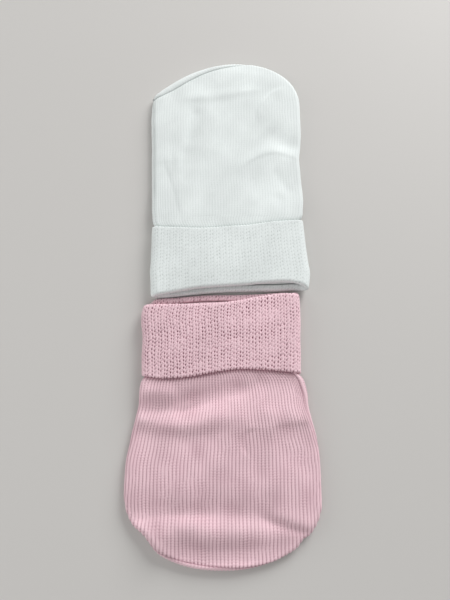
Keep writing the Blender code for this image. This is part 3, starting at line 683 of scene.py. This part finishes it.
def makePanel(mitten, top, shape):
    # A grid of rows from the mouth to the toe and columns from side to side. Its height is the
    # seam's, plus the rim's quarter ellipse and the front's rise, plus the knit along the normal.
    strip, share = columnShares(shape["rimColumns"], shape["ribs"] * shape["perRib"])
    reach = cloth["rimDepth"]
    key = "front" if top else "back"
    ownSide = 1.0 if top else -1.0

    def across(v):
        # x, distance in from the nearer side, side of the cloth and way from the seam
        wraps = [smoothCurve(mitten[name], v) for name in ("wrapLeft", "wrapRight")]
        extra = [cloth["reliefRoom"] * np.clip(wrap, 0, 1) for wrap in wraps]
        left, right = sideEdges(mitten, v, [depth + more for depth, more in zip(insets(mitten, v), extra)])
        leftIn, leftSide, leftWay = edgeOffset(share, wraps[0], top)
        rightIn, rightSide, rightWay = edgeOffset(share, wraps[1], top)
        x = stripPlaces(strip, share, left, right, leftIn, rightIn, reach)
        distance = np.maximum(np.minimum(x - left, right - x), 0)
        side = stripValues(strip, leftSide, rightSide, ownSide)
        return x, distance, side, stripValues(strip, leftWay, rightWay, farAway)

    # The mouth's end, the cuff's free edge over it, and the toe's line, for each column
    columns = np.zeros(len(strip))
    start = smoothCurve(mitten[key + "Mouth"], across(columns)[0]) + shape["mouthIn"]
    free = smoothCurve(mitten[key + "Edge"], across(columns + cloth["coverEnd"])[0])
    toeX = across(columns + mitten["toeTop"][1])[0]
    end = toeLine(mitten, toeX)
    slant = np.gradient(end, toeX + np.arange(len(toeX)) * tiny)
    steep = 1 + slant**2
    spread = np.sqrt(steep / (1 + steep / cloth["slantLimit"] ** 2))
    toeWrap = smoothCurve(mitten["wrapToe"], toeX)
    end = end - cloth["reliefRoom"] * np.clip(toeWrap, 0, 1) * spread

    # Rows: under the cuff, over the body, and round the toe's rim
    hidden = np.arange(shape["hiddenRows"])[:, None] / shape["hiddenRows"]
    body = np.arange(shape["bodyRows"])[:, None] / shape["bodyRows"]
    rimShare = 1 - np.arange(shape["rimRows"] + 1)[:, None] / shape["rimRows"]
    shown = free - shape["tuckedIn"]
    toeIn, toeSide, toeWay = edgeOffset(rimShare, toeWrap, top)
    rows = [
        start + (shown - start) * hidden,
        shown + (end - reach * spread - shown) * body,
        end - toeIn * spread,
    ]
    v = np.concatenate(rows)
    x, sideIn, side, sideWay = across(v)
    lead = np.zeros((len(v) - len(rimShare), len(strip)))
    side = np.maximum(side, np.concatenate([lead + ownSide, toeSide]))
    toeWay = np.concatenate([lead + farAway, toeWay])
    atToe = toeWay < sideWay
    way = np.minimum(sideWay, toeWay)

    # Distance in from the outline: the side's and the toe's, as (a^-p + b^-p)^(-1/p)
    toeDistance = np.maximum((end - v) / spread, 0)
    power = cloth["cornerPower"]
    inside = np.maximum(sideIn, tiny) ** -power + np.maximum(toeDistance, tiny) ** -power
    inside = np.where(np.minimum(sideIn, toeDistance) < onOutline, 0, inside ** (-1 / power))

    z = seamHeight(v) + side * overSeam(inside, cloth["rimRadius"], cloth["rimHeight"])
    z = z + np.where(side > 0, rise(mitten, x, v, inside), 0)
    base = placed(mitten, x, v, z)
    normal = surfaceNormals(base)
    if (normal[len(v) // 2, len(strip) // 2, 2] > 0) != top:
        normal = -normal

    ribPhase = stripPhase(strip, share, shape["rimRibs"], shape["ribs"]) + 0 * v
    height, shade = ribRelief(shape, ribPhase, x, v, mitten["seed"] * 10 + shape["seed"])
    bare = ease(v - free - shape["bareFrom"])
    height = height * (shape["underCuff"] + (1 - shape["underCuff"]) * bare) * mitten["knitStrength"]
    if top:
        # The cloth is drawn in where it goes under the cuff, and a shadow line is painted just past the
        # cuff's edge.
        height = height - shape["tuck"] * bell(v - free, shape["tuckWidth"])
        # painted shadow beside the cuff's edge
        darker, past, length = shape["tuckPaintedShadow"]
        shade = shade * (1 - darker * bell(v - free - past, length))

    # Along the seam: a ditch with the marks of its stitches and painted shade in it, and slanting stitches
    # on the wrapped edge
    run = np.r_[0, np.cumsum(np.hypot(np.diff(toeX), np.diff(end)))]
    along = np.where(atToe, run, v)
    tooth = np.cos(2 * np.pi * along / shape["seamStitch"])
    leftDitch, rightDitch, toeDitch = mitten["ditch"]
    ditch = np.where(atToe, toeDitch, stripValues(strip, leftDitch, rightDitch, 0))
    ditch = ditch * bell(way, shape["ditchWidth"])
    height = height - shape["ditch"] * ditch * (1 + shape["toothDepth"] * tooth)
    # painted shade in the ditch, darker at the stitches' marks
    shade = shade * (1 - np.clip(ditch * (1 + shape["toothPaintedShade"] * tooth), 0, 1))
    if not top:
        leftWrap = smoothCurve(mitten["wrapLeft"], v) * (strip < 0)
        wrapped = np.clip(np.where(atToe, toeWrap, leftWrap), 0, 1)
        slanting = np.cos(2 * np.pi * (along / shape["seamStitch"] + way / shape["wrapSlant"]))
        centre, halfWidth, farthest = shape["wrapStitch"]
        band = wrapped * bell(way - centre, halfWidth) * (way < farthest)
        paintedBandLight, paintedStitchShade = shape["wrapPaintedTones"]
        height = height * (1 - shape["wrapSmooth"] * band) + band * shape["wrapHeight"] * (1 + slanting)
        # the wrapped edge's colour is painted light, with painted shade from its stitches
        shade = shade * (1 - band) + band * (paintedBandLight + paintedStitchShade * slanting)
        # The underside stays flat: its relief is cut in and never stands out.
        height = height - height.max() * np.clip(-normal[..., 2], 0, 1)

    outer = base + normal * height[..., None]
    rowStep, columnStep = shape["rowStep"], shape["columnStep"]
    thick = cloth["wall"] - cloth["thinning"] * bell(inside, cloth["thinWidth"])
    inner = (base - normal * thick[..., None])[::rowStep, ::columnStep]
    flat = np.stack([ribPhase * cloth["ribWidth"], v], -1)
    points = np.concatenate([outer.reshape(-1, 3), inner.reshape(-1, 3)])
    flatPlace = np.concatenate([flat.reshape(-1, 2), flat[::rowStep, ::columnStep].reshape(-1, 2)])
    # each point's painted shade; the inner surface gets the fixed one
    relief = np.concatenate([shade.ravel(), np.full(inner[..., 0].size, shape["innerTone"])])
    groups = wallFaces(*v.shape, rowStep, columnStep)
    flip = (mitten["facing"] > 0) != top
    name = mitten["name"] + ("FrontPanel" if top else "BackPanel")
    piece = makePiece(name, points, groups, flatPlace, relief, knits[mitten["name"]], flip)
    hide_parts(f"{mitten['name']}_{key}_panel")
    return piece


# Cuffs

frontCuff = {
    "units": 22,                   # pairs of columns of stitches between the two side strips
    "rimUnits": 2.3,
    "perUnit": 10,
    "rimColumns": 22,
    "rows": 108,                   # along the turned-back cloth
    "rollRows": 14,
    "innerRows": 9,
    "waver": (0.05, 7),            # how far a column strays, in units, and over what length
    "rowWaver": (0.22, 8),         # the same for a row, in rows
    "pitRow": 1.62,                # from one row of holes to the next
    "stagger": 0.25,               # how far every other groove's rows lie on, in rows
    "grooveAt": 0.185,             # place and half width of a groove, in units from the narrow ridge
    "grooveWidth": 0.09,
    "ridgeHeight": 0.24,
    "broadWidth": 0.30,            # half widths of the two ridges, in units
    "narrowWidth": 0.17,
    "narrowHeight": 0.75,          # the narrow ridge's height, as a share
    "pitDepth": 0.64,              # depth and half width of a hole, and how far it strays sideways
    "pitWidth": 0.085,
    "pitStray": 0.05,
    "pitSharpness": 1.7,           # how short it is along its groove
    "pitChance": (0.45, 0.75),     # least strength, and how much chance adds
    "patches": (1, 0.45, 9, 0.35, 1.6),  # how the holes' strength drifts: as a panel's strength
    "veeDepth": 0.27,              # dip between two stitches of the broad ridge
    "veeSharpness": 1.3,
    "veeChance": (0.25, 0.75),
    "legLag": 1.1,
    "bead": 0.12,                  # head of a stitch
    "beadSlant": 1.6,
    "paintedTones": (0.95, 0.12, 1.3, 0.66, 0.18),  # painted light and shade: of the ridges, less groove, hole and V, plus a bead
    "plainTone": 0.7,              # fixed painted shade of the cloth's inner side
    "scallop": 0.14,               # waves of the free edge, and the share of the cuff that they reach
    "scallopShare": 0.1,
    "seed": 2,
}
backCuff = {**frontCuff, "seed": 7}
cuffSection = {
    "radius": 4.1,           # rim of the outer surface
    "height": 3.1,
    "rimDepth": 4.6,
    "reliefIn": 0.15,        # it lies this far in from the outline, and the knit stands out past it
    "rollRadius": 1.35,
    "returnLength": 1.5,
}


chanceFactors = (12.9898, 78.233, 37.719, 43758.5453)    # unrelated, so that neighbours differ


def seededShare(first, second, seed):
    # A fixed chance value from 0 to 1 for each stitch: what a large sine leaves after its whole part.
    byFirst, bySecond, bySeed, large = chanceFactors
    value = np.sin(first * byFirst + second * bySecond + seed * bySeed) * large
    return value - np.floor(value)


def cuffRelief(shape, unitPhase, run, x, seed):
    # Across, a broad and a narrow ridge to each unit, with a groove on either side of the narrow
    # one. Along each groove is a row of holes, round bells a fixed distance apart, each with its
    # own strength and place; the ridges are beaded by the stitches' heads. Its colour gets painted
    # shade in the grooves, holes and V dips, and painted light on the beads.
    phase = unitPhase + waver(x, run, shape["waver"], seed)
    share = phase - np.floor(phase)
    away = np.abs(share - 0.5)                       # 0 on the narrow ridge, 0.5 on the broad one
    second = share > 0.5                             # the second groove of the unit
    row = run / shape["pitRow"] + waver(x, run, shape["rowWaver"], seed + 1) + shape["stagger"] * second
    groove = 2 * np.floor(phase) + second
    chance = seededShare(groove, np.round(row), seed)
    chanceAcross = seededShare(groove, np.round(row), seed + 1) - 0.5
    line = bell(away - shape["grooveAt"], shape["grooveWidth"])
    pit = bell(away - shape["grooveAt"] - shape["pitStray"] * chanceAcross, shape["pitWidth"])
    pit = pit * pulse(row, shape["pitSharpness"]) * drift(x, run, shape["patches"], seed + 2)
    least, more = shape["pitChance"]
    pit = pit * (least + more * chance)
    broad = np.clip(1 - ((away - 0.5) / shape["broadWidth"]) ** 2, 0, 1)
    narrow = np.clip(1 - (away / shape["narrowWidth"]) ** 2, 0, 1)
    legs = row + 0.5 + shape["legLag"] * (0.5 - away)    # the V of each stitch on the broad ridge
    chanceLeg = seededShare(np.round(phase) + 0.5 * second, np.round(legs), seed + 2)
    least, more = shape["veeChance"]
    vee = pulse(legs, shape["veeSharpness"]) * np.sqrt(broad) * (least + more * chanceLeg)
    slant = np.sign(share - 0.5) * away * shape["beadSlant"]
    beads = np.cos(2 * np.pi * (2 * row + slant))
    height = shape["ridgeHeight"] * np.maximum(broad, shape["narrowHeight"] * narrow)
    height = height + shape["bead"] * (0.5 + 0.5 * beads) * (1 - line)
    height = height - shape["pitDepth"] * pit - shape["veeDepth"] * vee
    paintedRidgeLight, paintedLineShade, paintedPitShade, paintedVeeShade, paintedBeadLight = shape["paintedTones"]
    # painted shade in grooves, holes and V dips, painted light on the beads
    shade = paintedRidgeLight - paintedLineShade * line - paintedPitShade * pit - paintedVeeShade * vee + paintedBeadLight * beads * (1 - line)
    return height, np.clip(shade, 0, 1)


def cuffRings(shape):
    # The section as rings: share of the way to the free edge, distance past the roll's centre,
    # depth in the cloth, and how much of the knit's relief it has. It runs down the outside, round
    # the roll as past = -r sin(a) and depth = r (1 - cos(a)), in and back out, and up to the edge.
    roll, back = cuffSection["rollRadius"], cuffSection["returnLength"]
    outward = np.linspace(1, 0, shape["rows"] + 1)
    angle = np.linspace(0, np.pi, shape["rollRows"] + 1)[1:]
    under = np.linspace(0, 1, shape["innerRows"])
    outside = np.stack([outward, 0 * outward, 0 * outward, 0 * outward + 1], -1)
    rolled = np.stack([0 * angle, -roll * np.sin(angle), roll * (1 - np.cos(angle)), np.cos(angle / 2)], -1)
    mouth = [
        (0, back / 2, 2 * roll, 0.2),
        (0, back, 2 * roll, 0),
        (0, back, cloth["layer"], 0),
        (0, 0, cloth["layer"], 0),
        (0, -0.15, roll, 0),
    ]
    beneath = np.stack([under, 0 * under, 0 * under + cloth["wall"], 0 * under], -1)
    edge = [(1, 0.3, 0.95, 0.3), (1, 0.45, 0.6, 0.5), (1, 0.3, 0.25, 0.7)]
    rings = np.concatenate([outside, rolled, mouth, beneath, edge])
    return (column[:, None] for column in rings.T)


def makeCuff(mitten, top, shape):
    # The section's rings carried across the mitten. Its height is the seam's, plus a quarter
    # ellipse at this depth and the rise of the panel under it, plus the knit along the normal.
    strip, share = columnShares(shape["rimColumns"], shape["units"] * shape["perUnit"])
    key = "front" if top else "back"
    roll = cuffSection["rollRadius"]
    ringShare, past, depth, full = cuffRings(shape)

    def across(v):
        # The strips' offsets run as depth * (1 - cos angle).
        sunk = depth + cuffSection["reliefIn"]
        left, right = sideEdges(mitten, v, (sunk, sunk))
        reach = cuffSection["rimDepth"] - depth
        sideIn = reach * (1 - np.cos(np.pi / 2 * share))
        x = stripPlaces(strip, share, left, right, sideIn, sideIn, reach)
        return x, np.maximum(np.minimum(x - left, right - x), 0)

    level = 0 * depth + 0 * strip
    rollLine = smoothCurve(mitten[key + "Mouth"], across(level)[0]) + roll
    freeLine = smoothCurve(mitten[key + "Edge"], across(level + cloth["coverEnd"])[0])
    unitPhase = stripPhase(strip, share, shape["rimUnits"], shape["units"])
    nearEdge = ease((ringShare - (1 - shape["scallopShare"])) / shape["scallopShare"])
    scallop = shape["scallop"] * np.cos(2 * np.pi * 2 * unitPhase) * nearEdge
    v = rollLine + (freeLine - rollLine) * ringShare + past + scallop
    x, sideIn = across(v)
    panelLeft, panelRight = sideEdges(mitten, v, insets(mitten, v))
    inside = np.maximum(np.minimum(x - panelLeft, panelRight - x), 0)

    over = overSeam(sideIn, cuffSection["radius"] - depth, cuffSection["height"] - depth)
    z = seamHeight(v) + (1 if top else -1) * over
    if top:
        z = z + rise(mitten, x, v, inside)
    base = placed(mitten, x, v, z)
    normal = surfaceNormals(base)
    if (normal[shape["rows"] // 2, len(strip) // 2, 2] > 0) != top:
        normal = -normal

    # Way along the cloth from the free edge, on round the roll and back inside it
    run = freeLine - v
    rollRun = (freeLine - rollLine) + roll * np.arccos(np.clip(1 - depth / roll, -1, 1))
    run = np.where(past < 0, rollRun, np.where(depth > roll, rollRun + past, run))
    unitPhase = unitPhase + 0 * v
    relief, shade = cuffRelief(shape, unitPhase, run, x, mitten["seed"] * 10 + shape["seed"])
    relief = relief * full * mitten["knitStrength"]
    if not top:
        relief = relief - relief.max() * np.clip(-normal[..., 2], 0, 1) * full
    points = base + normal * relief[..., None]

    # The last ring joins the first, and one face shuts each end.
    rings, count = v.shape
    quads = gridQuads(rings + 1, count) % (rings * count)
    ends = np.arange(rings)[None] * count
    groups = [quads, ends, ends[:, ::-1] + count - 1]
    flip = (mitten["facing"] > 0) == top
    flat = np.stack([unitPhase * 2 * cloth["ribWidth"], run], -1).reshape(-1, 2)
    # the cloth's inner side gets one fixed painted shade
    shade = np.where(full > 0, shade, shape["plainTone"]).ravel()
    name = mitten["name"] + ("CuffFront" if top else "CuffBack")
    piece = makePiece(name, points.reshape(-1, 3), groups, flat, shade, knits[mitten["name"]], flip)
    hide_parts(f"{mitten['name']}_cuff_{key}")
    return piece


# Floor, light and camera

floorLook = {
    "colour": "#D0CECB",
    "roughness": 0.7,
    "size": 16.0,        # metres
    "drop": 0.05,        # just under the mittens
}


def makeFloor():
    # One square about the origin.
    half = floorLook["size"] / 2
    corners = [(-half, -half, 0), (half, -half, 0), (half, half, 0), (-half, half, 0)]
    mesh = bpy.data.meshes.new("floor")
    mesh.from_pydata(corners, [], [(0, 1, 2, 3)])
    material = bpy.data.materials.new("paintedBoard")
    material.use_nodes = True
    shader = material.node_tree.nodes["Principled BSDF"]
    shader.inputs["Base Color"].default_value = toLinear(floorLook["colour"])
    shader.inputs["Roughness"].default_value = floorLook["roughness"]
    mesh.materials.append(material)
    floor = bpy.data.objects.new("floor", mesh)
    floor.location.z = -floorLook["drop"] * millimetre
    bpy.context.scene.collection.objects.link(floor)


lights = {    # places and sizes in metres
    "key": {"place": (0.62, 0.92, 0.52), "size": 0.62, "power": 14.4},
    "fill": {"place": (-0.30, -0.70, 0.80), "size": 1.0, "power": 2.6},
    "side": {"place": (-0.92, 0.10, 0.28), "size": 0.7, "power": 3.0},
}
room = {"colour": "#FAF9F8", "strength": 0.31}


def makeLights():
    # Square lamps turned to the origin: tilted by the angle from straight down, then round Z.
    for name, look in lights.items():
        data = bpy.data.lights.new(name, "AREA")
        data.size = look["size"]
        data.energy = look["power"]
        lamp = bpy.data.objects.new(name, data)
        lamp.location = look["place"]
        away = -np.array(look["place"])
        tilt = np.arccos(-away[2] / np.linalg.norm(away))
        lamp.rotation_euler = (tilt, 0, np.arctan2(away[1], away[0]) - np.pi / 2)
        bpy.context.scene.collection.objects.link(lamp)
    world = bpy.data.worlds.new("softRoom")
    world.use_nodes = True
    background = world.node_tree.nodes["Background"]
    background.inputs["Color"].default_value = toLinear(room["colour"])
    background.inputs["Strength"].default_value = room["strength"]
    bpy.context.scene.world = world
    bpy.context.scene.view_settings.view_transform = "Standard"


cameraLook = {
    "place": (0.85, -55.7, 214.0),
    "tilt": 13.2,            # degrees
    "lens": 29.22,
    "sensor": 36.0,
    "nearest": 10.0,
}


def makeCamera():
    # Looks down from the pink end, tilted towards the white one.
    data = bpy.data.cameras.new("camera")
    data.sensor_width = cameraLook["sensor"]
    data.lens = cameraLook["lens"]
    data.clip_start = cameraLook["nearest"] * millimetre
    camera = bpy.data.objects.new("camera", data)
    camera.location = [value * millimetre for value in cameraLook["place"]]
    camera.rotation_euler = (np.radians(cameraLook["tilt"]), 0, 0)
    bpy.context.scene.collection.objects.link(camera)
    bpy.context.scene.camera = camera


makeCamera()
makeFloor()
makeLights()
print("floor, lights and camera made")
for mitten in (whiteMitten, pinkMitten):
    pieces = {
        "backPanel": makePanel(mitten, False, backPanel),
        "frontPanel": makePanel(mitten, True, frontPanel),
        "backCuff": makeCuff(mitten, False, backCuff),
        "frontCuff": makeCuff(mitten, True, frontCuff),
    }
    print(mitten["name"], "mitten:", sum(len(p.data.polygons) for p in pieces.values()), "faces")
